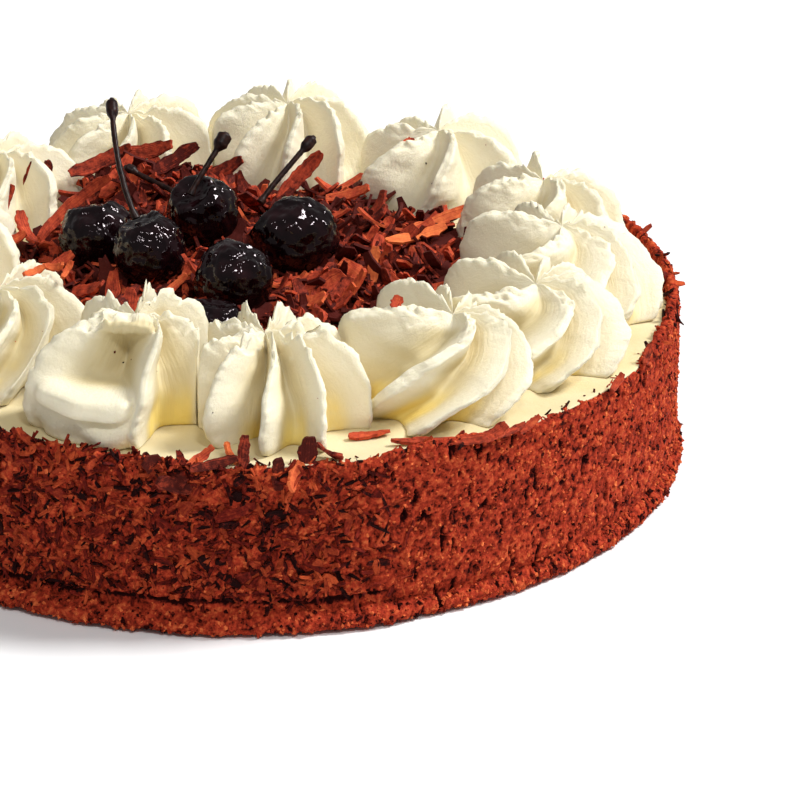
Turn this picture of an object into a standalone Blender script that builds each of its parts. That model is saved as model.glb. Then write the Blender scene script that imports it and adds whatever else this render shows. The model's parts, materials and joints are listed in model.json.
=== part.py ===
"""Black forest cake, 24 cm across, for Blender 4.5. Metres, +Z up, origin at the centre of the flat underside.

The cake body carries a recessed layer of cream. On the cream stand twelve piped swirls in a ring, a mound of
chocolate shavings inside the ring, and six cherries, which rest in hollows in the mound. Three cherries keep
their stems, and a fourth stem lies on the mound.
"""

import math
import random

import bmesh
import bpy
from mathutils import Matrix, Vector, noise

# Driving dimensions
RIM_RADIUS = 0.120  # outside of the chocolate coat at the top edge
CREAM_LEVEL = 0.0468  # top of the flat cream above the underside
GAP = 0.0003  # left between pieces that touch

# Cake body
BODY_STEPS = 64
FLARE = 0.0012  # how much wider the side is just above its foot
FOOT_RADIUS = RIM_RADIUS + 0.0045
FOOT_HEIGHT = 0.0050
GROOVE_DEPTH = 0.0022
COAT_WIDTH = 0.0040  # the coat's edge that shows round the cream
RIM_STAND = 0.0012  # how far the coat stands above the cream
RIM_BEVEL = 0.0015
CREAM_THICKNESS = 0.0080
SIDE_WOBBLE = 0.0009

# Piped swirls: angle round the cake in degrees, distance from its axis, half length outward,
# half width sideways, height, and how far the tip leans in X and Y
SWIRLS = (
    (-142, 0.0880, 0.0280, 0.0270, 0.0290, (0.004, -0.004)),
    (-110, 0.0885, 0.0285, 0.0260, 0.0300, (0.003, 0.003)),
    (-84, 0.0885, 0.0280, 0.0260, 0.0265, (-0.003, 0.003)),
    (-56, 0.0880, 0.0285, 0.0275, 0.0285, (0.004, 0.002)),
    (-33, 0.0880, 0.0285, 0.0270, 0.0262, (0.003, 0.000)),
    (-8, 0.0880, 0.0285, 0.0270, 0.0270, (-0.001, 0.003)),
    (20, 0.0875, 0.0280, 0.0270, 0.0256, (0.000, 0.000)),
    (53, 0.0875, 0.0280, 0.0280, 0.0262, (0.000, 0.000)),
    (85, 0.0875, 0.0280, 0.0270, 0.0286, (0.000, 0.000)),
    (116, 0.0900, 0.0250, 0.0270, 0.0268, (0.000, 0.000)),
    (149, 0.0890, 0.0260, 0.0275, 0.0272, (0.000, 0.000)),
    (183, 0.0875, 0.0280, 0.0280, 0.0278, (0.000, 0.000)),
)
SWIRL_LOBES = 7
SWIRL_POINTS_PER_LOBE = 4
SWIRL_TWIST = math.radians(55)
SWIRL_SECTION = (  # (height share, radius share)
    (0.00, 0.92),
    (0.12, 1.00),
    (0.34, 1.00),
    (0.56, 0.95),
    (0.75, 0.82),
    (0.89, 0.63),
    (0.97, 0.40),
)
LEAN_START = 0.35  # height share from which the tip leans

# Mound of shavings
MOUND_SEGMENTS = 40
MOUND_RINGS = 9
MOUND_FINE_RING = 4  # from here outward the rings have twice the points
MOUND_LIMIT = 0.078  # how far it runs out in the gaps between swirls
MOUND_EDGE_HEIGHT = 0.0075
MOUND_MIDDLE_HEIGHT = 0.0105
MOUND_MIDDLE = (-0.010, -0.008)
MOUND_SPREAD = 0.034
MOUND_RELIEF = 0.0015
MOUND_EDGE_DROP = 0.40
RIDGE_MIDDLE = (-0.034, 0.055)  # where the shavings lie heaped against the far swirls
RIDGE_HEIGHT = 0.0165
RIDGE_SPREAD = 0.021

# Cherries: middle (its height above the cream), radius, and the way the dimple leans
CHERRIES = (
    ((-0.0436, 0.0015, 0.0160), 0.0106, (0.25, 0.10)),
    ((-0.0277, -0.0155, 0.0185), 0.0105, (-0.43, 0.27)),
    ((-0.0144, 0.0130, 0.0185), 0.0106, (-0.37, -0.75)),
    ((0.0114, -0.0028, 0.0168), 0.0122, (-0.85, 0.42)),
    ((-0.0040, -0.0318, 0.0165), 0.0108, (0.15, 0.20)),
    ((-0.0088, -0.0555, 0.0108), 0.0096, (0.00, 0.20)),
)
CHERRY_FLATTENING = 0.95
DIMPLE_DEPTH = 0.0024
DIMPLE_WIDTH = 0.0034
HOLLOW_GROWTH = 1.03  # of a cherry's size, for its hollow in the mound
SWIRL_CLEARANCE = 0.0014  # between a cherry and a swirl

# Stems: which cherry carries it, and its route above the cream, the first point over the dimple
STEM_RADIUS = 0.0007
KNOB_RADIUS = 0.0019
KNOB_LENGTH = 0.0056
STEMS = (
    (1, ((-0.0352, -0.0075, 0.0350), (-0.0372, -0.0020, 0.0405), (-0.0388, 0.0090, 0.0485))),
    (2, ((-0.0152, 0.0090, 0.0305), (-0.0122, 0.0115, 0.0335), (-0.0092, 0.0155, 0.0370))),
    (3, ((0.0065, 0.0040, 0.0300), (0.0098, 0.0070, 0.0332), (0.0142, 0.0120, 0.0375))),
)
LYING_STEM = ((-0.0205, 0.0320), (-0.0242, 0.0352), (-0.0280, 0.0378), (-0.0320, 0.0402), (-0.0350, 0.0420))
LYING_STEM_LIFT = 0.0024  # above the mound, clear of its knob


def clear_scene():
    for old in list(bpy.data.objects):
        bpy.data.objects.remove(old)


def new_collection(name):
    made = bpy.data.collections.new(name)
    bpy.context.scene.collection.children.link(made)
    return made


def food_material(name, colour, roughness):
    material = bpy.data.materials.new(name)
    material.use_nodes = True
    shader = material.node_tree.nodes["Principled BSDF"]
    shader.inputs["Base Color"].default_value = (*colour, 1.0)
    shader.inputs["Roughness"].default_value = roughness
    shader.inputs["Metallic"].default_value = 0.0
    return material


def add_object(name, mesh, material, collection):
    obj = bpy.data.objects.new(name, mesh)
    mesh.materials.append(material)
    collection.objects.link(obj)
    return obj


def smooth_mesh(bm, name):
    bmesh.ops.recalc_face_normals(bm, faces=bm.faces)
    mesh = bpy.data.meshes.new(name)
    bm.to_mesh(mesh)
    bm.free()
    mesh.shade_smooth()
    mesh.set_sharp_from_angle(angle=math.radians(50))
    return mesh


def frozen(obj):
    """The evaluated mesh of an object, which is then removed."""
    bpy.context.view_layer.update()
    mesh = bpy.data.meshes.new_from_object(obj.evaluated_get(bpy.context.evaluated_depsgraph_get()))
    mesh.transform(obj.matrix_world)
    bpy.data.objects.remove(obj)
    return mesh


def turned(name, profile, material, collection):
    """A solid of revolution. The profile's (radius, height) points run down the outer side, from axis to axis."""
    line = bpy.data.meshes.new(name + "_profile")
    points = [(radius, 0.0, height) for radius, height in profile]
    line.from_pydata(points, [(i, i + 1) for i in range(len(points) - 1)], [])
    guide = bpy.data.objects.new(name + "_profile", line)
    collection.objects.link(guide)
    screw = guide.modifiers.new("turn", "SCREW")
    screw.axis = "Z"
    screw.steps = screw.render_steps = BODY_STEPS
    screw.use_merge_vertices = True
    screw.merge_threshold = 0.00005
    mesh = frozen(guide)
    mesh.shade_smooth()
    mesh.set_sharp_from_angle(angle=math.radians(40))
    return add_object(name, mesh, material, collection)


def side_wobble(angle, height):
    """Unevenness of the coat, which vanishes on the X and Y axes so that the outline stays centred."""
    share = 0.5 - 0.5 * math.cos(4 * angle)
    bump = noise.noise(Vector((3 * math.cos(angle), 3 * math.sin(angle), 50 * height)))
    return -SIDE_WOBBLE * share * (0.5 + 0.5 * bump)


def make_cake_body(material, collection):
    inside = RIM_RADIUS - COAT_WIDTH
    rim_top = CREAM_LEVEL + RIM_STAND
    recess_floor = CREAM_LEVEL - CREAM_THICKNESS
    profile = (
        (0.0, recess_floor),
        (inside, recess_floor),
        (inside, rim_top),
        (RIM_RADIUS - RIM_BEVEL, rim_top),
        (RIM_RADIUS, rim_top - RIM_BEVEL),
        (RIM_RADIUS + 0.4 * FLARE, 0.60 * CREAM_LEVEL),
        (RIM_RADIUS + FLARE, FOOT_HEIGHT + 0.0045),
        (RIM_RADIUS + FLARE - GROOVE_DEPTH, FOOT_HEIGHT + 0.0010),
        (FOOT_RADIUS - 0.0010, FOOT_HEIGHT - 0.0010),
        (FOOT_RADIUS, 0.0018),
        (FOOT_RADIUS, 0.0),
        (0.0, 0.0),
    )
    body = turned("cake_body", profile, material, collection)
    for vertex in body.data.vertices:
        reach = vertex.co.xy.length
        if reach > RIM_RADIUS - RIM_BEVEL / 2:
            push = 1 + side_wobble(math.atan2(vertex.co.y, vertex.co.x), vertex.co.z) / reach
            vertex.co.x *= push
            vertex.co.y *= push
    return body


def make_cream_layer(material, collection):
    reach = RIM_RADIUS - COAT_WIDTH - GAP
    floor = CREAM_LEVEL - CREAM_THICKNESS + GAP
    profile = (
        (0.0, CREAM_LEVEL),
        (reach - 0.0010, CREAM_LEVEL),
        (reach, CREAM_LEVEL - 0.0008),
        (reach, floor),
        (0.0, floor),
    )
    return turned("cream_layer", profile, material, collection)


def section_radius(height_share):
    """The swirl's outline, read between the points of its section."""
    for (low, r_low), (high, r_high) in zip(SWIRL_SECTION, SWIRL_SECTION[1:]):
        if height_share <= high:
            return r_low + (r_high - r_low) * (height_share - low) / (high - low)
    return SWIRL_SECTION[-1][1]


def swirl_point(turn, height_share, lobe_sizes, groove):
    """A point of the piped form in a unit circle: sharp ridges with round valleys, twisted on the way down."""
    lobe = turn * SWIRL_LOBES / math.tau
    valley = abs(math.sin(math.pi * lobe))
    ridge_size = lobe_sizes[round(lobe) % SWIRL_LOBES]
    reach = section_radius(height_share) * (1 - groove * valley) * (1 - (1 - ridge_size) * (1 - valley))
    angle = turn - SWIRL_TWIST * (1 - height_share) ** 1.3
    return Vector((reach * math.cos(angle), reach * math.sin(angle)))


def sector_edges(index):
    """The two directions that part a swirl from its neighbours, in radians."""
    here = SWIRLS[index][0]
    before = SWIRLS[index - 1][0]
    after = SWIRLS[(index + 1) % len(SWIRLS)][0]
    half_before = ((here - before) % 360) / 2
    half_after = ((after - here) % 360) / 2
    return math.radians(here - half_before), math.radians(here + half_after)


def kept_in_sector(point, edges):
    """Moves a point back to the plane where its swirl presses against a neighbour."""
    for edge, side in zip(edges, (1, -1)):
        outward = Vector((-math.sin(edge), math.cos(edge), 0.0)) * side
        depth = point.dot(outward) - GAP
        if depth < 0:
            point = point - outward * depth
    return point


def kept_off_cherries(point):
    """Moves a point out of a cherry that touches its swirl."""
    for place, radius, _ in CHERRIES:
        middle = Vector(place) + Vector((0.0, 0.0, CREAM_LEVEL))
        away = point - middle
        clear = radius + SWIRL_CLEARANCE
        if away.length < clear:
            point = middle + away.normalized() * clear
    return point


def make_swirl(index, material, collection, rng):
    name = f"swirl_{index + 1:02d}"
    degrees, distance, half_length, half_width, height, tip_lean = SWIRLS[index]
    direction = math.radians(degrees)
    edges = sector_edges(index)
    first_ridge = Matrix.Rotation(rng.uniform(0, math.tau / SWIRL_LOBES), 2)
    lobe_sizes = [rng.uniform(0.88, 1.0) for _ in range(SWIRL_LOBES)]
    groove = rng.uniform(0.22, 0.28)

    ring_points = SWIRL_LOBES * SWIRL_POINTS_PER_LOBE
    turned_outward = Matrix.Rotation(direction - math.pi / 2, 3, "Z")
    foot = Vector((math.cos(direction), math.sin(direction), 0.0)) * distance
    foot.z = CREAM_LEVEL + GAP
    bm = bmesh.new()
    rings = []
    for height_share, _ in SWIRL_SECTION:
        lean = Vector((*tip_lean, 0.0)) * max(0.0, (height_share - LEAN_START) / (1 - LEAN_START))
        ring = []
        for step in range(ring_points):
            turn = step * math.tau / ring_points
            across, along = first_ridge @ swirl_point(turn, height_share, lobe_sizes, groove)
            flat = Vector((across * half_width, along * half_length, 0.0))
            point = turned_outward @ flat + foot + lean
            point.z += height * height_share
            ring.append(bm.verts.new(kept_in_sector(kept_off_cherries(point), edges)))
        rings.append(ring)
    for lower, upper in zip(rings, rings[1:]):
        for i in range(ring_points):
            j = (i + 1) % ring_points
            bm.faces.new((lower[i], lower[j], upper[j], upper[i]))
    bm.faces.new(list(reversed(rings[0])))
    tip_place = sum((v.co for v in rings[-1]), Vector()) / ring_points
    tip_place.z = foot.z + height
    tip = bm.verts.new(tip_place)
    for i in range(ring_points):
        bm.faces.new((rings[-1][i], rings[-1][(i + 1) % ring_points], tip))
    return add_object(name, smooth_mesh(bm, name), material, collection)


def mound_reach(angle):
    """How far the mound runs towards the swirls' round inner sides, and a little way into the gaps between."""
    reach = MOUND_LIMIT
    for degrees, distance, half_length, half_width, _, _ in SWIRLS:
        offset = math.radians(degrees) - angle
        wide = half_width + 2 * GAP
        long = half_length + 2 * GAP
        # where this direction first meets the swirl's oval foot
        a = (math.cos(offset) / long) ** 2 + (math.sin(offset) / wide) ** 2
        b = distance * math.cos(offset) / long**2
        left = b**2 - a * ((distance / long) ** 2 - 1)
        if math.cos(offset) > 0 and left > 0:
            reach = min(reach, (b - math.sqrt(left)) / a)
    return reach


def hump(x, y, middle, spread):
    return math.exp(-((x - middle[0]) ** 2 + (y - middle[1]) ** 2) / spread**2)


def mound_height(x, y, share=0.0):
    """Height of the shavings above the cream: a middle dome, a ridge at the back, and an uneven top."""
    dome = (MOUND_MIDDLE_HEIGHT - MOUND_EDGE_HEIGHT) * hump(x, y, MOUND_MIDDLE, MOUND_SPREAD)
    ridge = RIDGE_HEIGHT * hump(x, y, RIDGE_MIDDLE, RIDGE_SPREAD)
    relief = MOUND_RELIEF * noise.noise(Vector((x, y, 0.0)) * 140)
    return (MOUND_EDGE_HEIGHT + dome + ridge + relief) * (1 - MOUND_EDGE_DROP * share**8)


def mound_ring(bm, ring_index):
    share = ring_index / MOUND_RINGS
    count = MOUND_SEGMENTS * (1 if ring_index < MOUND_FINE_RING else 2)
    ring = []
    for step in range(count):
        angle = step * math.tau / count
        reach = mound_reach(angle) * share
        x, y = reach * math.cos(angle), reach * math.sin(angle)
        ring.append(bm.verts.new((x, y, CREAM_LEVEL + GAP + mound_height(x, y, share))))
    return ring


def join_rings(bm, inner, outer):
    """Faces between two rings, of which the outer one may have twice the points."""
    finer = len(outer) // len(inner)
    for i in range(len(inner)):
        j = (i + 1) % len(inner)
        first, last = outer[finer * i], outer[(finer * (i + 1)) % len(outer)]
        if finer == 1:
            bm.faces.new((inner[i], first, last, inner[j]))
        else:
            middle = outer[finer * i + 1]
            bm.faces.new((inner[i], first, middle))
            bm.faces.new((inner[i], middle, inner[j]))
            bm.faces.new((inner[j], middle, last))


def make_mound(material, collection):
    bm = bmesh.new()
    top = bm.verts.new((0.0, 0.0, CREAM_LEVEL + GAP + mound_height(0.0, 0.0)))
    rings = [mound_ring(bm, ring_index) for ring_index in range(1, MOUND_RINGS + 1)]
    rings.append([bm.verts.new((v.co.x, v.co.y, CREAM_LEVEL + GAP)) for v in rings[-1]])
    for i, vertex in enumerate(rings[0]):
        bm.faces.new((top, vertex, rings[0][(i + 1) % len(rings[0])]))
    for inner, outer in zip(rings, rings[1:]):
        join_rings(bm, inner, outer)
    bm.faces.new(list(reversed(rings[-1])))
    return add_object("shavings_mound", smooth_mesh(bm, "shavings_mound"), material, collection)


def cherry_frame(place, lean):
    """The cherry's place, turned so that its dimple faces the way its stem leans."""
    up = Vector((lean[0], lean[1], 1.0)).normalized()
    turn = up.to_track_quat("Z", "Y").to_matrix().to_4x4()
    return Matrix.Translation(Vector(place) + Vector((0.0, 0.0, CREAM_LEVEL))) @ turn


def cherry_mesh(name, radius, dimple_depth):
    bm = bmesh.new()
    bmesh.ops.create_uvsphere(bm, u_segments=14, v_segments=9, radius=radius)
    for vertex in bm.verts:
        if vertex.co.z > 0:
            vertex.co.z -= dimple_depth * math.exp(-((vertex.co.xy.length / DIMPLE_WIDTH) ** 2))
        vertex.co.z *= CHERRY_FLATTENING
    return smooth_mesh(bm, name)


def make_cherry(index, material, collection):
    place, radius, lean = CHERRIES[index]
    name = f"cherry_{index + 1}"
    cherry = add_object(name, cherry_mesh(name, radius, DIMPLE_DEPTH), material, collection)
    cherry.matrix_world = cherry_frame(place, lean)
    return cherry


def hollow_out(mound, material, cutters):
    """Hollows in the mound where the cherries lie."""
    for index, (place, radius, lean) in enumerate(CHERRIES):
        name = f"hollow_{index + 1}"
        hollow = add_object(name, cherry_mesh(name, radius * HOLLOW_GROWTH, 0.0), material, cutters)
        hollow.matrix_world = cherry_frame(place, lean)
        hollow.hide_render = True
        hollow.display_type = "WIRE"
        cut = mound.modifiers.new(name, "BOOLEAN")
        cut.operation = "DIFFERENCE"
        cut.object = hollow


def stem_tube(name, points, widths, material, collection):
    curve = bpy.data.curves.new(name, "CURVE")
    curve.dimensions = "3D"
    curve.bevel_depth = STEM_RADIUS
    curve.bevel_resolution = 1
    curve.use_fill_caps = True
    curve.materials.append(material)
    spline = curve.splines.new("POLY")
    spline.points.add(len(points) - 1)
    for control, point, width in zip(spline.points, points, widths):
        control.co = (point.x, point.y, point.z + CREAM_LEVEL, 1.0)
        control.radius = width
    stem = bpy.data.objects.new(name, curve)
    collection.objects.link(stem)
    return stem


def with_knob(points, widths):
    """Lengthens a stem by the knob at its end, in the way its last stretch runs."""
    onward = (points[-1] - points[-2]).normalized() * KNOB_LENGTH
    points = points + [points[-1] + onward * share for share in (0.35, 0.85, 1.0)]
    knob = KNOB_RADIUS / STEM_RADIUS
    return points, widths + [knob, knob, 0.6 * knob]


def make_stem(number, cherry_index, route, material, collection):
    place, radius, lean = CHERRIES[cherry_index]
    way_up = Vector((lean[0], lean[1], 1.0)).normalized()
    rise = CHERRY_FLATTENING * (radius - DIMPLE_DEPTH) + STEM_RADIUS + GAP
    root = Vector(place) + way_up * rise
    points = [root] + [Vector(point) for point in route]
    points, widths = with_knob(points, [1.2] + [1.0] * (len(route) - 1) + [1.4])
    return stem_tube(f"stem_{number}", points, widths, material, collection)


def make_lying_stem(number, material, collection):
    points = [Vector((x, y, mound_height(x, y) + LYING_STEM_LIFT)) for x, y in LYING_STEM]
    points, widths = with_knob(points, [1.2] + [1.0] * (len(LYING_STEM) - 2) + [1.4])
    return stem_tube(f"stem_{number}", points, widths, material, collection)


def main():
    clear_scene()
    cake = new_collection("black_forest_cake")
    cutters = new_collection("cutters")
    chocolate = food_material("chocolate", (0.155, 0.034, 0.016), 0.75)
    cream = food_material("cream", (0.86, 0.81, 0.62), 0.45)
    cherry_skin = food_material("cherry_skin", (0.018, 0.005, 0.007), 0.12)
    stem_skin = food_material("stem_skin", (0.030, 0.009, 0.008), 0.30)

    make_cake_body(chocolate, cake)
    make_cream_layer(cream, cake)
    rng = random.Random(24)
    for index in range(len(SWIRLS)):
        make_swirl(index, cream, cake, rng)
    mound = make_mound(chocolate, cake)
    hollow_out(mound, chocolate, cutters)
    for index in range(len(CHERRIES)):
        make_cherry(index, cherry_skin, cake)
    for number, (cherry_index, route) in enumerate(STEMS, start=1):
        make_stem(number, cherry_index, route, stem_skin, cake)
    make_lying_stem(len(STEMS) + 1, stem_skin, cake)


main()
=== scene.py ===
import json
import math
import random

import bmesh
import bpy
from mathutils import Euler, Matrix, Vector

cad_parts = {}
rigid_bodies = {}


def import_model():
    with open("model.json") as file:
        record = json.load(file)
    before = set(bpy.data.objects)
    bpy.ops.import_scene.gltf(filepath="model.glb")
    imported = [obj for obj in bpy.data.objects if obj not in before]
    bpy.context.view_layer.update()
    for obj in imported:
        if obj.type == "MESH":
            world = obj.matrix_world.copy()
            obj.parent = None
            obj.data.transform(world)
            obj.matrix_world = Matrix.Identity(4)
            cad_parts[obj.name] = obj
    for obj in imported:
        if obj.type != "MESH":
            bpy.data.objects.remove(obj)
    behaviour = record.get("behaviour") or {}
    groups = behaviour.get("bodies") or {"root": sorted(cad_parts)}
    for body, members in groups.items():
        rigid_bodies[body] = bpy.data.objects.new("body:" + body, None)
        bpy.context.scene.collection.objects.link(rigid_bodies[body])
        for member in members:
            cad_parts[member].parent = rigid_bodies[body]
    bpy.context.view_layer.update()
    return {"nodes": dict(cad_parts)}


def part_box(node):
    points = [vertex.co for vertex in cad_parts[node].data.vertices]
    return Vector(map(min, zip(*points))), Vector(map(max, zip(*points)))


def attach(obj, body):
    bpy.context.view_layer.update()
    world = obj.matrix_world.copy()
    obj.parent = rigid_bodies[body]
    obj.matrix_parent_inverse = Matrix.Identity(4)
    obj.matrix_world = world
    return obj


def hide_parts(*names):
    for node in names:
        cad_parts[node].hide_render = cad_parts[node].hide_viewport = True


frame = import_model()
print("frame loaded:", len(frame["nodes"]), "nodes")

mm = 0.001
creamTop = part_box("cream_layer")[1].z


class Field:
    # a node output that takes + - * /, so a formula reads as one
    def __init__(self, tree, socket):
        self.tree = tree
        self.socket = socket

    def math(self, operation, *others):
        node = self.tree.nodes.new("ShaderNodeMath")
        node.operation = operation
        self.tree.links.new(self.socket, node.inputs[0])
        for place, other in enumerate(others, start=1):
            plug(self.tree, other, node.inputs[place])
        return Field(self.tree, node.outputs[0])

    def __add__(self, other):
        return self.math("ADD", other)

    def __sub__(self, other):
        return self.math("SUBTRACT", other)

    def __rsub__(self, other):
        return (self * -1.0) + other

    def __mul__(self, other):
        return self.math("MULTIPLY", other)

    def __truediv__(self, other):
        return self.math("DIVIDE", other)

    def __rtruediv__(self, other):
        return (self ** -1.0) * other

    def __pow__(self, other):
        return self.math("POWER", other)

    __radd__ = __add__
    __rmul__ = __mul__

    def sin(self):
        return self.math("SINE")

    def cos(self):
        return self.math("COSINE")

    def within(self, low, high):
        return self.math("MAXIMUM", low).math("MINIMUM", high)

    def rise(self, low, high):
        # 0 below low, 1 above high, smooth between
        node = self.tree.nodes.new("ShaderNodeMapRange")
        node.interpolation_type = "SMOOTHSTEP"
        plug(self.tree, self, node.inputs["Value"])
        plug(self.tree, low, node.inputs["From Min"])
        plug(self.tree, high, node.inputs["From Max"])
        return Field(self.tree, node.outputs["Result"])


def plug(tree, source, target):
    if isinstance(source, Field):
        tree.links.new(source.socket, target)
    elif hasattr(source, "is_output"):
        tree.links.new(source, target)
    else:
        target.default_value = source


def addNode(tree, kind, settings=None, **inputs):
    node = tree.nodes.new(kind)
    for label, value in (settings or {}).items():
        setattr(node, label, value)
    for label, value in inputs.items():
        plug(tree, value, node.inputs[label.replace("_", " ")])
    return node


def startTree(name, inputs):
    # inputs: label -> (socket kind, default)
    tree = bpy.data.node_groups.new(name, "GeometryNodeTree")
    tree.interface.new_socket("Geometry", in_out="INPUT", socket_type="NodeSocketGeometry")
    for label, (kind, value) in inputs.items():
        socket = tree.interface.new_socket(label, in_out="INPUT", socket_type="NodeSocket" + kind)
        if value is not None:
            socket.default_value = value
    tree.interface.new_socket("Geometry", in_out="OUTPUT", socket_type="NodeSocketGeometry")
    entry = tree.nodes.new("NodeGroupInput")
    given = {label: Field(tree, entry.outputs[label]) for label in ["Geometry", *inputs]}
    return tree, given


def endTree(tree, geometry, material):
    realised = addNode(tree, "GeometryNodeRealizeInstances", Geometry=geometry)
    finish = addNode(tree, "GeometryNodeSetMaterial", Geometry=realised.outputs[0], Material=material)
    exitNode = tree.nodes.new("NodeGroupOutput")
    tree.links.new(finish.outputs[0], exitNode.inputs[0])
    return tree


def combine(tree, x, y, z):
    return Field(tree, addNode(tree, "ShaderNodeCombineXYZ", X=x, Y=y, Z=z).outputs[0])


def separate(tree, vector):
    outputs = addNode(tree, "ShaderNodeSeparateXYZ", Vector=vector).outputs
    return tuple(Field(tree, output) for output in outputs)


def scaled(tree, vector, factor):
    node = tree.nodes.new("ShaderNodeVectorMath")
    node.operation = "SCALE"
    plug(tree, vector, node.inputs[0])
    plug(tree, factor, node.inputs["Scale"])
    return Field(tree, node.outputs[0])


def summed(tree, first, second):
    node = tree.nodes.new("ShaderNodeVectorMath")
    plug(tree, first, node.inputs[0])
    plug(tree, second, node.inputs[1])
    return Field(tree, node.outputs[0])


def noiseAt(tree, vector, scale, detail=2.0, roughness=0.5):
    # -0.5 to 0.5
    node = addNode(tree, "ShaderNodeTexNoise", Vector=vector, Scale=scale, Detail=detail, Roughness=roughness)
    return Field(tree, node.outputs[0]) - 0.5


def chance(tree, low, high, number, seed):
    # one random value for each number
    node = addNode(tree, "FunctionNodeRandomValue", {"data_type": "FLOAT"})
    plug(tree, low, node.inputs[2])
    plug(tree, high, node.inputs[3])
    plug(tree, number, node.inputs["ID"])
    plug(tree, seed, node.inputs["Seed"])
    return Field(tree, node.outputs[1])


def keepValue(tree, geometry, name, value):
    keep = addNode(tree, "GeometryNodeStoreNamedAttribute", {"data_type": "FLOAT", "domain": "POINT"},
                   Geometry=geometry, Name=name)
    plug(tree, value, keep.inputs["Value"])
    return keep.outputs[0]


def kept(tree, name):
    return Field(tree, addNode(tree, "GeometryNodeInputNamedAttribute", {"data_type": "FLOAT"}, Name=name).outputs[0])


def startGrid(tree, given):
    # a flat grid that remembers where each point stood: around 0 to 1, along 0 to 1
    grid = addNode(tree, "GeometryNodeMeshGrid", Size_X=1.0, Size_Y=1.0, Vertices_X=given["Around"],
                   Vertices_Y=given["Up"])
    x, y, z = separate(tree, addNode(tree, "GeometryNodeInputPosition").outputs[0])
    geometry = keepValue(tree, grid.outputs["Mesh"], "around", x + 0.5)
    geometry = keepValue(tree, geometry, "along", y + 0.5)
    return geometry, kept(tree, "around"), kept(tree, "along")


def plainMesh(name, tree, values, start=None):
    # runs a tree and keeps what it makes as a plain mesh
    carrier = bpy.data.objects.new(name + "Carrier", start or bpy.data.meshes.new(name + "Start"))
    bpy.context.scene.collection.objects.link(carrier)
    modifier = carrier.modifiers.new("make", "NODES")
    modifier.node_group = tree
    for item in tree.interface.items_tree:
        if item.in_out == "INPUT" and item.name in values:
            modifier[item.identifier] = values[item.name]
    bpy.context.view_layer.update()
    mesh = bpy.data.meshes.new_from_object(carrier.evaluated_get(bpy.context.evaluated_depsgraph_get()))
    bpy.data.objects.remove(carrier)
    mesh.name = name
    return mesh


def addPiece(name, mesh, replaces=()):
    piece = bpy.data.objects.new(name, mesh)
    bpy.context.scene.collection.objects.link(piece)
    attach(piece, "root")
    if replaces:
        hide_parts(*replaces)
    return piece


# materials ---------------------------------------------------------------

def newMaterial(name):
    material = bpy.data.materials.new(name)
    material.use_nodes = True
    shader = material.node_tree.nodes["Principled BSDF"]
    return material, material.node_tree, shader


def makeCream():
    # hollow: the share of painted shade, 0 on a ridge, 1 in the middle of a scooped face; along: 0 at the foot, 1 at
    # the tip
    material, tree, shader = newMaterial("whippedCream")
    where = addNode(tree, "ShaderNodeTexCoord").outputs["Object"]
    hollow = Field(tree, addNode(tree, "ShaderNodeAttribute", {"attribute_name": "hollow"}).outputs["Fac"])
    along = Field(tree, addNode(tree, "ShaderNodeAttribute", {"attribute_name": "along"}).outputs["Fac"])
    lobe = Field(tree, addNode(tree, "ShaderNodeAttribute", {"attribute_name": "lobe"}).outputs["Fac"])
    patches = Field(tree, addNode(tree, "ShaderNodeTexNoise", Vector=where, Scale=70.0, Detail=3.0).outputs[0])
    # painted shade: the hollows darken towards a grey-brown scoop colour in place of their shadow
    paintedShadeShare = hollow.rise(0.25, 0.95) * (patches * 0.6 + 0.5)
    # painted glow: low in the hollows a yellow tint stands for light bounced inside the cream
    paintedGlowShare = hollow.rise(0.50, 0.90) * (1.0 - along.rise(0.10, 0.45)) * patches.rise(0.32, 0.60)
    paintedShadeMix = addNode(tree, "ShaderNodeMix", {"data_type": "RGBA"})
    # the plain cream colour, and the painted shade colour it turns to in the hollows
    paintedShadeMix.inputs[6].default_value = (0.87, 0.80, 0.60, 1)
    paintedShadeMix.inputs[7].default_value = (0.60, 0.49, 0.25, 1)
    plug(tree, paintedShadeShare, paintedShadeMix.inputs[0])
    paintedGlowMix = addNode(tree, "ShaderNodeMix", {"data_type": "RGBA"})
    tree.links.new(paintedShadeMix.outputs[2], paintedGlowMix.inputs[6])
    # the painted yellow glow colour
    paintedGlowMix.inputs[7].default_value = (0.93, 0.71, 0.18, 1)
    plug(tree, paintedGlowShare * 0.85, paintedGlowMix.inputs[0])
    tree.links.new(paintedGlowMix.outputs[2], shader.inputs["Base Color"])
    shader.inputs["Roughness"].default_value = 0.55
    shader.inputs["Specular IOR Level"].default_value = 0.25
    shader.inputs["Subsurface Weight"].default_value = 0.1
    shader.inputs["Subsurface Scale"].default_value = 0.003
    shader.inputs["Subsurface Radius"].default_value = (1.0, 0.8, 0.4)
    froth = addNode(tree, "ShaderNodeTexNoise", Vector=where, Scale=900.0, Detail=5.0, Roughness=0.75)
    drag = addNode(tree, "ShaderNodeTexNoise", Vector=combine(tree, lobe * 9.0, along * 1.6, 0.0), Scale=3.0, Detail=3.0)
    relief = Field(tree, froth.outputs[0]) * (1.0 - hollow * 0.75) + Field(tree, drag.outputs[0]) * 0.7
    bump = addNode(tree, "ShaderNodeBump", Strength=0.7, Distance=0.0005, Height=relief)
    tree.links.new(bump.outputs[0], shader.inputs["Normal"])
    return material


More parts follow.
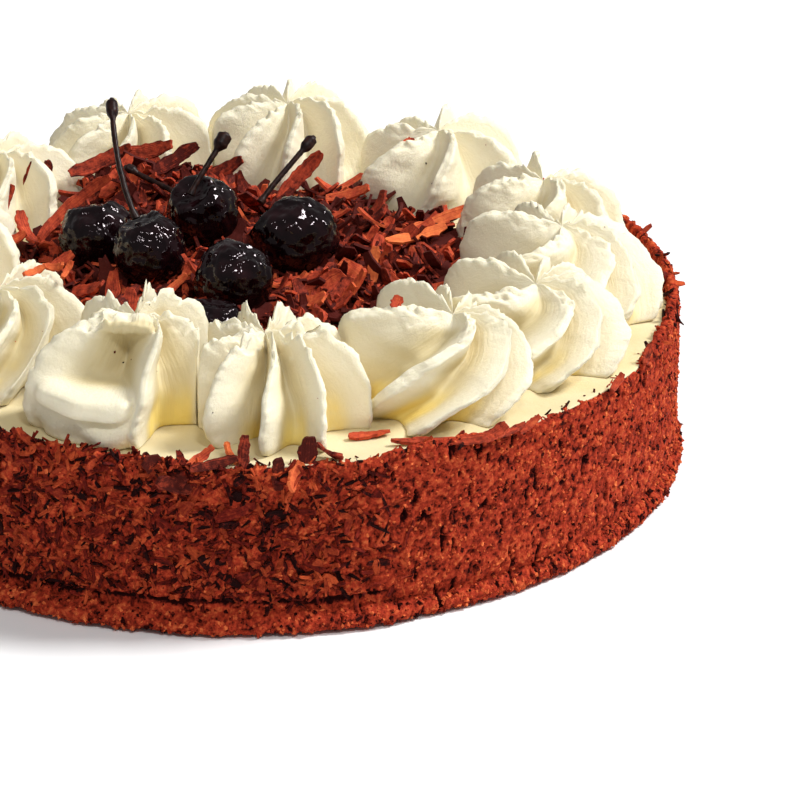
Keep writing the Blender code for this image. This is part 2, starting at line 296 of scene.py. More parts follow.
def makeChocolate(name, dark, middle, light, roughness, grain, depth):
    # shade: one number for each flake, strand: millimetres across it, height: crests of the crumb against its pits,
    # carrying painted shade in pits and cracks and painted light on crests
    material, tree, shader = newMaterial(name)
    where = addNode(tree, "ShaderNodeTexCoord").outputs["Object"]
    shade = addNode(tree, "ShaderNodeAttribute", {"attribute_name": "shade"}).outputs["Fac"]
    height = addNode(tree, "ShaderNodeAttribute", {"attribute_name": "height"}).outputs["Fac"]
    patches = addNode(tree, "ShaderNodeTexNoise", Vector=where, Scale=grain, Detail=5.0, Roughness=0.65)
    strand = Field(tree, addNode(tree, "ShaderNodeAttribute", {"attribute_name": "strand"}).outputs["Fac"])
    bent = strand + Field(tree, addNode(tree, "ShaderNodeTexNoise", Vector=where, Scale=150.0).outputs[0]) * 0.8
    lines = noiseAt(tree, combine(tree, bent, 0.0, 0.0), 2.6, 3.0, 0.7) * strand.rise(0.0, 0.1)
    # height adds painted shade and painted light; patches, shade and lines are the chocolate's own colour
    spread = Field(tree, patches.outputs[0]) * 0.9 + Field(tree, shade) * 0.5 + Field(tree, height) * 0.6
    spread = spread + lines * 0.7
    ramp = addNode(tree, "ShaderNodeValToRGB")
    ramp.color_ramp.elements[0].position = 0.28
    ramp.color_ramp.elements[0].color = (*dark, 1)
    ramp.color_ramp.elements[1].position = 1.0
    ramp.color_ramp.elements[1].color = (*light, 1)
    ramp.color_ramp.elements.new(0.56).color = (*middle, 1)
    plug(tree, spread, ramp.inputs["Fac"])
    tree.links.new(ramp.outputs["Color"], shader.inputs["Base Color"])
    shader.inputs["Roughness"].default_value = roughness
    shader.inputs["Specular IOR Level"].default_value = 0.08
    bump = addNode(tree, "ShaderNodeBump", Strength=1.0, Distance=depth)
    plug(tree, Field(tree, patches.outputs[0]) + lines * 1.5, bump.inputs["Height"])
    tree.links.new(bump.outputs[0], shader.inputs["Normal"])
    return material


def makeCherrySkin():
    material, tree, shader = newMaterial("cherrySkin")
    where = addNode(tree, "ShaderNodeTexCoord").outputs["Object"]
    patches = addNode(tree, "ShaderNodeTexNoise", Vector=where, Scale=160.0, Detail=2.0)
    ramp = addNode(tree, "ShaderNodeValToRGB", Fac=patches.outputs[0])
    ramp.color_ramp.elements[0].position = 0.45
    ramp.color_ramp.elements[0].color = (0.003, 0.0008, 0.0012, 1)
    ramp.color_ramp.elements[1].position = 0.75
    ramp.color_ramp.elements[1].color = (0.012, 0.003, 0.004, 1)
    tree.links.new(ramp.outputs["Color"], shader.inputs["Base Color"])
    shader.inputs["Roughness"].default_value = 0.05
    shader.inputs["Specular IOR Level"].default_value = 0.30
    shader.inputs["Specular Tint"].default_value = (1.0, 0.86, 0.90, 1)
    # syrup: beads that each catch the light, over slow wrinkles
    beads = addNode(tree, "ShaderNodeTexVoronoi", {"feature": "SMOOTH_F1"}, Vector=where, Scale=330.0, Smoothness=0.7)
    wrinkles = addNode(tree, "ShaderNodeTexNoise", Vector=where, Scale=170.0, Detail=1.0, Roughness=0.5)
    relief = Field(tree, wrinkles.outputs[0]) * 0.8 - Field(tree, beads.outputs["Distance"]) * 0.8
    bump = addNode(tree, "ShaderNodeBump", Strength=1.0, Distance=0.0012, Height=relief)
    tree.links.new(bump.outputs[0], shader.inputs["Normal"])
    return material


def makeStemSkin():
    material, tree, shader = newMaterial("stemSkin")
    where = addNode(tree, "ShaderNodeTexCoord").outputs["Object"]
    patches = addNode(tree, "ShaderNodeTexNoise", Vector=where, Scale=700.0, Detail=4.0)
    ramp = addNode(tree, "ShaderNodeValToRGB", Fac=patches.outputs[0])
    ramp.color_ramp.elements[0].position = 0.35
    ramp.color_ramp.elements[0].color = (0.006, 0.002, 0.002, 1)
    ramp.color_ramp.elements[1].position = 0.75
    ramp.color_ramp.elements[1].color = (0.035, 0.012, 0.008, 1)
    tree.links.new(ramp.outputs["Color"], shader.inputs["Base Color"])
    shader.inputs["Roughness"].default_value = 0.40
    shader.inputs["Specular IOR Level"].default_value = 0.15
    return material


cream = makeCream()
crumbChocolate = makeChocolate("crumbChocolate", (0.020, 0.001, 0.001), (0.40, 0.038, 0.015), (0.85, 0.20, 0.06), 0.85, 900.0, 0.0006)
flakeChocolate = makeChocolate("flakeChocolate", (0.075, 0.010, 0.007), (0.50, 0.064, 0.028), (0.90, 0.22, 0.065), 0.6, 500.0, 0.0003)
shredChocolate = makeChocolate("shredChocolate", (0.012, 0.001, 0.001), (0.18, 0.013, 0.007), (0.55, 0.085, 0.025), 0.7, 700.0, 0.0003)
cherrySkin = makeCherrySkin()
stemSkin = makeStemSkin()


# piped swirls --------------------------------------------------------------

# each curve runs from the middle of the underside (0) to the middle of the top (1)
swirlLook = {
    "ridgeReach": [(0, 0), (0.05, 0.90), (0.12, 0.97), (0.25, 1.0), (0.42, 0.96), (0.56, 0.85), (0.68, 0.68),
                   (0.78, 0.50), (0.87, 0.30), (0.94, 0.14), (1, 0)],
    "ridgeLevel": [(0, 0), (0.05, 0.0), (0.12, 0.09), (0.25, 0.31), (0.42, 0.57), (0.56, 0.77), (0.68, 0.91),
                   (0.78, 0.98), (0.87, 1.0), (0.94, 0.97), (1, 0.90)],
    "valleyReach": [(0, 0), (0.05, 0.70), (0.12, 0.71), (0.25, 0.65), (0.42, 0.55), (0.56, 0.44), (0.68, 0.33),
                    (0.78, 0.24), (0.87, 0.15), (0.94, 0.08), (1, 0)],
    "valleyLevel": [(0, 0), (0.05, 0.0), (0.12, 0.08), (0.25, 0.23), (0.42, 0.41), (0.56, 0.53), (0.68, 0.63),
                    (0.78, 0.72), (0.87, 0.80), (0.94, 0.86), (1, 0.90)],
    "ledgeReach": [(0, 0), (0.05, 0.84), (0.12, 0.88), (0.19, 0.85), (0.24, 0.80), (0.28, 0.93), (0.33, 0.98),
                   (0.38, 0.84), (0.43, 0.42), (0.50, 0.24), (0.58, 0.20), (0.66, 0.21), (0.72, 0.29), (0.77, 0.42),
                   (0.83, 0.44), (0.90, 0.28), (1, 0)],
    "ledgeLevel": [(0, 0), (0.05, 0.0), (0.12, 0.10), (0.19, 0.20), (0.24, 0.27), (0.28, 0.29), (0.33, 0.41),
                   (0.38, 0.49), (0.43, 0.46), (0.50, 0.50), (0.58, 0.61), (0.66, 0.75), (0.72, 0.85), (0.77, 0.92),
                   (0.83, 0.98), (0.90, 1.0), (1, 0.90)],
    "swing": [(0, 1.0), (0.05, 1.0), (0.12, 0.86), (0.25, 0.55), (0.42, 0.28), (0.56, 0.14), (0.68, 0.06),
              (0.78, 0.02), (0.87, 0.0), (1, 0.0)],
}


def curveOf(tree, points, value):
    node = tree.nodes.new("ShaderNodeFloatCurve")
    line = node.mapping.curves[0]
    line.points[0].location = points[0]
    line.points[1].location = points[-1]
    for point in points[1:-1]:
        line.points.new(*point)
    node.mapping.update()
    plug(tree, value, node.inputs["Value"])
    return Field(tree, node.outputs[0])


def mixed(first, second, share):
    return first + (second - first) * share


def swirlTree(material):
    tree, given = startTree("swirlTree", {
        "Around": ("Int", 224), "Up": ("Int", 84), "Lobes": ("Int", 7), "Twist": ("Float", 1.6),
        "Width": ("Float", 0.024), "Height": ("Float", 0.025), "Turn": ("Float", 0.0), "Seed": ("Int", 1),
        "Foot": ("Vector", (0, 0, 0)), "Lean": ("Vector", (0, 0, 0)), "Tilt": ("Vector", (0, 0, 0)),
        "Length": ("Float", 0.028), "Curl": ("Float", 0.12), "Torn": ("Float", 0.5), "Outward": ("Float", 0.0),
        "Top Turn": ("Float", 0.6), "Uneven": ("Float", 0.03), "Broad Side": ("Float", 0.0),
        "Twist Side": ("Float", 0.0), "Scoop": ("Float", 1.0), "Ledge": ("Float", 0.0),
        "Crest": ("Float", 0.09), "Tone": ("Float", 1.0),
        "Edge A": ("Float", 0.0), "Edge B": ("Float", 1.0)})
    grid, around, climb = startGrid(tree, given)
    # lobes: a narrow frothy ridge, two hollow faces and a crease
    broad = given["Turn"] - given["Broad Side"]
    uneven = (broad.sin() - (around * math.tau + broad).sin()) * given["Uneven"]
    uneven = uneven + (around * (2 * math.tau)).sin() * 0.008
    lobe = (around + uneven) * given["Lobes"]
    phase = lobe.math("FRACT")
    across = ((phase - given["Crest"]) / (1.0 - given["Crest"] * 2.0)).within(0.0, 1.0) ** 1.1
    hollow = (across * math.pi).sin().within(0.0, 1.0) ** 0.66
    ridge = 1.0 - hollow
    ridgeNumber = (lobe + 0.5).math("FLOOR").math("WRAP", given["Lobes"], 0.0)
    valleyNumber = lobe.math("FLOOR").math("WRAP", given["Lobes"], 0.0)
    ridgeSize = chance(tree, 0.88, 1.04, ridgeNumber, given["Seed"])
    ridgeRise = chance(tree, -0.10, 0.04, ridgeNumber, given["Seed"] + 7)
    valleySize = chance(tree, 0.72, 1.15, valleyNumber, given["Seed"] + 13)
    ridgeReach = curveOf(tree, swirlLook["ridgeReach"], climb) * mixed(ridgeSize, 1.0, hollow)
    ledge = given["Ledge"] * hollow.rise(0.0, 0.5) * (around * math.tau + broad).cos().rise(0.35, 0.75)
    plain = curveOf(tree, swirlLook["valleyReach"], climb) * valleySize * given["Scoop"]
    valleyReach = mixed(plain, curveOf(tree, swirlLook["ledgeReach"], climb), ledge)
    valleyLevel = mixed(curveOf(tree, swirlLook["valleyLevel"], climb), curveOf(tree, swirlLook["ledgeLevel"], climb),
                        ledge)
    reach = mixed(valleyReach, ridgeReach, ridge)
    # the ridges wind most on the side the nozzle pulled away to
    winding = (around * math.tau + given["Turn"] - given["Twist Side"]).cos() * 0.5 + 0.5
    swing = given["Twist"] * curveOf(tree, swirlLook["swing"], climb) - given["Top Turn"] * climb.rise(0.48, 1.0)
    angle = around * math.tau + given["Turn"] - swing * winding
    angle = angle - ridge * given["Curl"] * climb.rise(0.0, 0.2)
    # longer towards the middle of the cake than along the ring
    outward = reach * angle.cos() * given["Length"]
    sideways = reach * angle.sin() * given["Width"]
    turnCos = given["Outward"].cos()
    turnSin = given["Outward"].sin()
    spreadX = outward * turnCos - sideways * turnSin
    spreadY = outward * turnSin + sideways * turnCos
    tiltX, tiltY, tiltZ = separate(tree, given["Tilt"])
    tilted = (spreadX * tiltX + spreadY * tiltY) / given["Length"]
    ridgeLevel = curveOf(tree, swirlLook["ridgeLevel"], climb)
    ridgeLevel = ridgeLevel + (ridgeRise * (1.0 - climb.rise(0.9, 1.0)) + tilted) * climb.rise(0.2, 0.6)
    level = mixed(valleyLevel, ridgeLevel, ridge) * given["Height"]
    leaning = climb.rise(0.1, 1.0)
    standing = combine(tree, spreadX, spreadY, level)
    placed = summed(tree, summed(tree, standing, scaled(tree, given["Lean"], leaning)), given["Foot"])
    way = angle + given["Outward"]
    # softness, and torn edges on the ridges
    wide = noiseAt(tree, placed, 90.0, 1.0)
    torn = noiseAt(tree, placed, 420.0, 2.0) * ridge ** 2.0 * mixed(0.5, 1.3, climb.rise(0.6, 0.9))
    crown = noiseAt(tree, placed, 290.0, 1.5) * climb.rise(0.62, 0.80) * given["Torn"] * mixed(0.4, 1.0, ridge)
    shown = climb.rise(0.02, 0.12) * (1.0 - climb.rise(0.9, 1.0))
    swell = (wide * 0.005 + torn * 0.0036) * shown
    lift = (torn * 0.0045 * climb.rise(0.5, 0.8) + crown * 0.010) * shown
    moved = summed(tree, placed, combine(tree, way.cos() * swell, way.sin() * swell, lift))
    # pressed against the neighbours
    px, py, pz = separate(tree, moved)
    for edge, side in (("Edge A", 1.0), ("Edge B", -1.0)):
        outX = given[edge].sin() * -side
        outY = given[edge].cos() * side
        depth = px * outX + py * outY
        push = depth.math("SMOOTH_MAX", 0.0003, 0.005) - depth
        px = px + outX * push
        py = py + outY * push
    shaped = combine(tree, px, py, pz)
    moved = addNode(tree, "GeometryNodeSetPosition", Geometry=grid, Position=shaped)
    # painted shade: faces take hollow times Painted Shade, none near the tip and less on the tongue of a ledge
    flow = keepValue(tree, moved.outputs[0], "hollow", hollow * given["Tone"] * (1.0 - climb.rise(0.80, 0.97))
                     * (1.0 - ledge * (1.0 - climb.rise(0.38, 0.44)) * 0.85))
    flow = keepValue(tree, flow, "lobe", lobe)
    merged = addNode(tree, "GeometryNodeMergeByDistance", Geometry=flow, Distance=0.00002)
    smooth = addNode(tree, "GeometryNodeSetShadeSmooth", Geometry=merged.outputs[0])
    return endTree(tree, smooth.outputs[0], material)


# where round the cake, how far out, half length outwards, half width, height, then where the tip
# leans, which side stands higher, the foot of one ridge, how many, the twist low down and at the top,
# how uneven the faces are with the side where they are broad, and how torn, scooped and ledged they are,
# and the width of a ridge as a share of a face
# toneAndShade: how strong the painted shade and painted yellow glow are in the hollows of each swirl
swirls = {
    "swirl_01": {"at": (-142, 0.0880, 0.0280, 0.0280, 0.0265), "tip": (0.004, -0.004), "tilt": (-0.1, 0.1),
                 "lobes": (-30, 7, 50, 30), "broad": (0.03, 150), "cut": (0.3, 0.95, 0.0, 0.08), "toneAndShade": 1.00, "seed": 3},
    "swirl_02": {"at": (-110, 0.0885, 0.0285, 0.0265, 0.0285), "tip": (0.003, 0.003), "tilt": (-0.05, 0.05),
                 "lobes": (-68, 6, 10, 30), "broad": (0.055, -127), "cut": (0.9, 0.85, 1.0, 0.035), "toneAndShade": 1.40, "seed": 5},
    "swirl_03": {"at": (-84, 0.0885, 0.0280, 0.0265, 0.0250), "tip": (-0.003, 0.003), "tilt": (0.0, 0.05),
                 "lobes": (-85, 9, 10, 20), "broad": (0.01, 0), "cut": (1.2, 0.80, 0.0, 0.06), "toneAndShade": 1.00, "seed": 8},
    "swirl_04": {"at": (-56, 0.0880, 0.0285, 0.0290, 0.0245), "tip": (0.006, 0.002), "tilt": (-0.18, 0.12),
                 "lobes": (-40, 8, 60, 50), "broad": (0.07, -137), "cut": (0.2, 0.92, 0.0, 0.08), "toneAndShade": 1.00, "seed": 21},
    "swirl_05": {"at": (-33, 0.0880, 0.0285, 0.0285, 0.0235), "tip": (0.004, 0.000), "tilt": (-0.18, 0.16),
                 "lobes": (-22, 8, 60, 50), "broad": (0.07, -125), "cut": (0.15, 0.92, 0.0, 0.08), "toneAndShade": 0.95, "seed": 22},
    "swirl_06": {"at": (-8, 0.0880, 0.0285, 0.0285, 0.0250), "tip": (-0.001, 0.004), "tilt": (-0.20, 0.10),
                 "lobes": (-15, 8, 60, 50), "broad": (0.06, -135), "cut": (0.15, 0.95, 0.0, 0.08), "toneAndShade": 0.70, "seed": 24},
    "swirl_07": {"at": (20, 0.0875, 0.0280, 0.0285, 0.0240), "tip": (0.0, 0.0), "tilt": (-0.1, 0.0),
                 "lobes": (-30, 7, 40, 30), "broad": (0.04, -140), "cut": (0.2, 1.0, 0.0, 0.08), "toneAndShade": 0.70, "seed": 9},
    "swirl_08": {"at": (53, 0.0875, 0.0280, 0.0300, 0.0245), "tip": (0.0, 0.0), "tilt": (0.0, 0.0),
                 "lobes": (-80, 7, 25, 20), "broad": (0.03, -60), "cut": (0.2, 1.0, 0.0, 0.08), "toneAndShade": 0.50, "seed": 6},
    "swirl_09": {"at": (85, 0.0875, 0.0280, 0.0290, 0.0270), "tip": (0.0, 0.0), "tilt": (0.0, 0.0),
                 "lobes": (-80, 9, 12, 20), "broad": (0.02, 0), "cut": (0.3, 1.0, 0.0, 0.08), "toneAndShade": 0.50, "seed": 7},
    "swirl_10": {"at": (116, 0.0900, 0.0250, 0.0285, 0.0260), "tip": (0.0, 0.0), "tilt": (0.0, 0.0),
                 "lobes": (-85, 9, 12, 20), "broad": (0.02, 0), "cut": (0.3, 1.0, 0.0, 0.08), "toneAndShade": 0.70, "seed": 11},
    "swirl_11": {"at": (149, 0.0890, 0.0260, 0.0295, 0.0260), "tip": (0.0, 0.0), "tilt": (0.0, 0.0),
                 "lobes": (-70, 8, 20, 30), "broad": (0.02, 0), "cut": (0.3, 1.0, 0.0, 0.08), "toneAndShade": 0.70, "seed": 12},
    "swirl_12": {"at": (183, 0.0875, 0.0280, 0.0300, 0.0260), "tip": (0.0, 0.0), "tilt": (0.0, 0.0),
                 "lobes": (-60, 7, 30, 30), "broad": (0.02, 0), "cut": (0.3, 1.0, 0.0, 0.08), "toneAndShade": 0.70, "seed": 13},
}


def makeSwirls():
    tree = swirlTree(cream)
    names = list(swirls)
    for place, node in enumerate(names):
        shape = swirls[node]
        degrees, distance, length, width, height = shape["at"]
        first, lobes, twist, topTurn = shape["lobes"]
        direction = math.radians(degrees)
        before = (degrees - swirls[names[place - 1]]["at"][0]) % 360 / 2
        after = (swirls[names[(place + 1) % 12]]["at"][0] - degrees) % 360 / 2
        foot = (distance * math.cos(direction), distance * math.sin(direction), creamTop - 0.0004)
        values = {
            "Width": width, "Length": length, "Outward": direction, "Height": height + 0.0004,
            "Turn": math.radians(first - degrees), "Twist Side": math.radians(-60 - degrees), "Seed": shape["seed"], "Lobes": lobes,
            "Twist": math.radians(twist), "Top Turn": math.radians(topTurn), "Foot": foot,
            "Uneven": shape["broad"][0], "Broad Side": math.radians(shape["broad"][1] - degrees),
            "Torn": shape["cut"][0], "Scoop": shape["cut"][1], "Ledge": shape["cut"][2], "Crest": shape["cut"][3],
            "Lean": (*shape["tip"], 0.0), "Tilt": (*shape["tilt"], 0.0), "Tone": shape["toneAndShade"],
            "Edge A": math.radians(degrees - before), "Edge B": math.radians(degrees + after)}
        mesh = plainMesh(node.replace("swirl", "pipedSwirl"), tree, values)
        addPiece(mesh.name, mesh, [node])
    print("swirls piped")


makeSwirls()


# coat and cream layer: turned round the middle of the cake -------------------

coat = {
    "around": 1200,
    "up": 76,
    "reach": [(0, 0), (0.02, 0.1190), (0.035, 0.1232), (0.06, 0.1236), (0.09, 0.1212), (0.11, 0.1188),
              (0.14, 0.1197), (0.84, 0.1195), (0.88, 0.1190), (0.92, 0.1174), (0.95, 0.1163), (0.97, 0.1155),
              (1, 0)],
    "level": [(0, 0), (0.02, 0.0003), (0.035, 0.0008), (0.06, 0.0036), (0.09, 0.0052), (0.11, 0.0060),
              (0.14, 0.0085), (0.84, 0.0450), (0.88, 0.0472), (0.92, 0.0476), (0.95, 0.0468), (0.97, 0.0420),
              (1, 0.0400)],
}

creamTopShape = {
    "around": 420,
    "up": 56,
    "reach": [(0, 0), (0.05, 0.1100), (0.10, 0.1155), (0.16, 0.1160), (0.20, 0.1162), (0.24, 0.1155), (0.60, 0.0850),
              (1, 0)],
    "level": [(0, 0.0402), (0.05, 0.0402), (0.10, 0.0420), (0.16, 0.0455), (0.20, 0.0464), (0.24, 0.0467),
              (0.60, 0.0467), (1, 0.0467)],
}


def straightCurve(tree, points, value, span):
    # a curve through lengths in metres
    field = curveOf(tree, [(x, y / span) for x, y in points], value)
    for point in field.socket.node.mapping.curves[0].points:
        point.handle_type = "VECTOR"
    field.socket.node.mapping.update()
    return field * span


def turnedStart(name, shape):
    tree, given = startTree(name, {"Around": ("Int", 100), "Up": ("Int", 10)})
    grid, around, along = startGrid(tree, given)
    angle = (around - 0.5) * math.tau
    reach = straightCurve(tree, shape["reach"], along, 0.13)
    level = straightCurve(tree, shape["level"], along, 0.05)
    return tree, grid, angle, along, reach, level


def turnedFinish(tree, grid, place, height, material, extra=()):
    flow = addNode(tree, "GeometryNodeSetPosition", Geometry=grid, Position=place).outputs[0]
    normal = addNode(tree, "GeometryNodeInputNormal").outputs[0]
    flow = addNode(tree, "GeometryNodeSetPosition", Geometry=flow, Offset=scaled(tree, normal, height)).outputs[0]
    for name, value in extra:
        flow = keepValue(tree, flow, name, value)
    merged = addNode(tree, "GeometryNodeMergeByDistance", Geometry=flow, Distance=0.00002)
    smooth = addNode(tree, "GeometryNodeSetShadeSmooth", Geometry=merged.outputs[0])
    return endTree(tree, smooth.outputs[0], material)


def between(angle, low, high):
    # 1 between two directions in degrees, with soft ends
    low, high = math.radians(low), math.radians(high)
    return angle.rise(low - 0.07, low + 0.07) * (1.0 - angle.rise(high - 0.07, high + 0.07))


def coatTree():
    tree, grid, angle, along, reach, level = turnedStart("coatTree", coat)
    ring = combine(tree, angle.cos(), angle.sin(), 0.0)
    onRim = along.rise(0.82, 0.90) * (1.0 - along.rise(0.955, 0.97))
    rimNoise = noiseAt(tree, ring, 9.0, 3.0, 0.6)
    # almost bare at the front, higher and ragged at the right
    bare = between(angle, -98, -71) + between(angle, -58, -24)
    rise = rimNoise * 0.0030 + 0.0008 + between(angle, -20, 60) * 0.0010 - bare * 0.0020
    drawn = 1.0 - 0.016 * along.rise(0.0, 0.02) * (1.0 - along.rise(0.08, 0.12)) * between(angle, -70, 120)
    reach = reach * drawn
    place = combine(tree, angle.cos() * reach, angle.sin() * reach, level + onRim * rise)
    # shreds on the left, crumb on the right
    shreds = (1.0 - angle.rise(-1.45, -1.15)) + angle.rise(1.6, 2.4)
    lumps = noiseAt(tree, place, 230.0, 2.0, 0.6)
    grain = noiseAt(tree, place, 620.0, 2.0, 0.7)
    cracks = noiseAt(tree, combine(tree, angle.cos() * 0.16, angle.sin() * 0.16, level * 0.35), 420.0, 2.0, 0.55)
    crack = (cracks - 0.12).within(0.0, 0.1) * 10.0 * (1.0 - shreds)
    # a wavy groove near the foot at the front: cut in, and painted dark as its shadow
    shadedGroove = noiseAt(tree, ring, 9.0, 4.0, 0.7) * 0.07 + along
    shadedGroove = (1.0 - (shadedGroove - 0.145).math("ABSOLUTE").rise(0.004, 0.014)) * between(angle, -135, -72)
    outside = along.rise(0.02, 0.035) * (1.0 - along.rise(0.95, 0.97))
    streaks = noiseAt(tree, combine(tree, angle.cos() * 0.3, angle.sin() * 0.3, level * 0.5), 500.0, 2.0, 0.6)
    height = (lumps * mixed(0.0014, 0.0032, shreds) + grain * 0.0018 + streaks * 0.0014 * (1.0 - shreds)
              - crack * 0.0020 - shadedGroove * 0.0012) * outside
    # painted shade: the colour value darkens in pits, cracks and the groove, and lightens on crests as painted light
    shown = (lumps * 0.9 + grain * 1.4 - crack * 1.1 - shadedGroove * 0.9 + 0.10) * outside
    pits = 1.0 - crack.within(0.0, 1.0)
    wall = along.rise(0.12, 0.15) * (1.0 - along.rise(0.90, 0.93))
    return turnedFinish(tree, grid, place, height, crumbChocolate, [
        ("height", shown), ("shreds", wall * shreds), ("crumb", wall * (1.0 - shreds * 0.5) * pits),
        ("foot", along.rise(0.02, 0.04) * (1.0 - along.rise(0.10, 0.12))), ("rim", onRim * (1.0 - bare)),
        ("edge", onRim * bare),
        ("coarse", wall * along.rise(0.35, 0.6) * between(angle, -112, -82))])


def creamTopTree():
    tree, grid, angle, along, reach, level = turnedStart("creamTopTree", creamTopShape)
    spill = (between(angle, -98, -71) + between(angle, -58, -24)) * (noiseAt(tree, angle * 3.0, 4.0, 3.0) + 0.9)
    reach = reach * (1.0 + spill * 0.020 * along.rise(0.08, 0.14) * (1.0 - along.rise(0.24, 0.60)))
    place = combine(tree, angle.cos() * reach, angle.sin() * reach, level)
    onTop = along.rise(0.20, 0.30)
    waves = noiseAt(tree, place, 60.0, 2.0)
    strokes = noiseAt(tree, combine(tree, angle * 0.02, reach, 0.0), 700.0, 2.0)
    height = (waves * 0.0014 + strokes * 0.0005 - 0.0003) * onTop
    # painted shade and painted yellow glow spread over the whole flat layer, varying with the waves
    return turnedFinish(tree, grid, place, height, cream, [("hollow", waves * 0.8 + 0.78), ("along", waves * 0.6 + 0.40),
        ("dust", along.rise(0.20, 0.24) * (1.0 - along.rise(0.24, 0.34)) * (waves + 0.1))])


def makeCoat():
    mesh = plainMesh("chocolateCoat", coatTree(), {"Around": coat["around"], "Up": coat["up"]})
    addPiece("chocolateCoat", mesh, ["cake_body"])
    mesh = plainMesh("creamTop", creamTopTree(), {"Around": creamTopShape["around"], "Up": creamTopShape["up"]})
    addPiece("creamTop", mesh, ["cream_layer"])
    print("coat and cream layer turned")


makeCoat()


# flakes and crumbs -----------------------------------------------------------

def flakeTree():
    # a shaving: a thin strip, bent along its length and a little twisted
    tree, given = startTree("flakeTree", {
        "Steps": ("Int", 6), "Across": ("Int", 2), "Length": ("Float", 0.01), "Width": ("Float", 0.003),
        "Thickness": ("Float", 0.0005), "Bend": ("Float", 1.0), "Twist": ("Float", 0.3), "Seed": ("Float", 0.0)})
    cube = addNode(tree, "GeometryNodeMeshCube", Size=(1.0, 1.0, 1.0), Vertices_X=given["Steps"],
                   Vertices_Y=given["Across"], Vertices_Z=2)
    x, y, z = separate(tree, addNode(tree, "GeometryNodeInputPosition").outputs[0])
    ragged = noiseAt(tree, combine(tree, x * 2.0, y, given["Seed"]), 3.0, 3.0, 0.7)
    taper = 1.0 - (x * 2.0).math("ABSOLUTE") ** 3.0 * 0.45
    wide = y * given["Width"] * taper * (ragged * 1.6 + 1.0)
    thick = z * given["Thickness"] * (ragged + 1.0)
    turn = x * given["Twist"]
    side = wide * turn.cos() - thick * turn.sin()
    up = wide * turn.sin() + thick * turn.cos()
    round = given["Length"] / given["Bend"]
    angle = (x + ragged * 0.12) * given["Bend"]
    place = combine(tree, (round - up) * angle.sin(), side, round - (round - up) * angle.cos())
    strand = keepValue(tree, cube.outputs["Mesh"], "strand", y * given["Width"] * 1000.0 + given["Seed"] + 1.0)
    moved = addNode(tree, "GeometryNodeSetPosition", Geometry=strand, Position=place)
    return endTree(tree, moved.outputs[0], flakeChocolate)


def crumbTree():
    tree, given = startTree("crumbTree", {"Size": ("Float", 0.001), "Flat": ("Float", 0.7), "Seed": ("Float", 0.0)})
    block = addNode(tree, "GeometryNodeMeshCube", Size=(1.5, 1.5, 1.5), Vertices_X=2, Vertices_Y=2, Vertices_Z=2)
    x, y, z = separate(tree, addNode(tree, "GeometryNodeInputPosition").outputs[0])
    rough = noiseAt(tree, combine(tree, x, y + given["Seed"], z), 1.7, 1.0) * 2.2 + 1.0
    moved = addNode(tree, "GeometryNodeSetPosition", Geometry=block.outputs["Mesh"],
                    Position=combine(tree, x * rough * given["Size"], y * rough * given["Size"] * 0.8,
                                     z * rough * given["Size"] * given["Flat"]))
    return endTree(tree, moved.outputs[0], crumbChocolate)


def shapeSet(name, tree, variants):
    # a few shapes to scatter, kept only while the scattering runs
    shelf = bpy.data.collections.new(name)
    for place, values in enumerate(variants):
        mesh = plainMesh(name + str(place), tree, values)
        shelf.objects.link(bpy.data.objects.new(name + str(place), mesh))
    return shelf


def clearShelf(shelf):
    for shape in list(shelf.objects):
        bpy.data.objects.remove(shape)
    bpy.data.collections.remove(shelf)


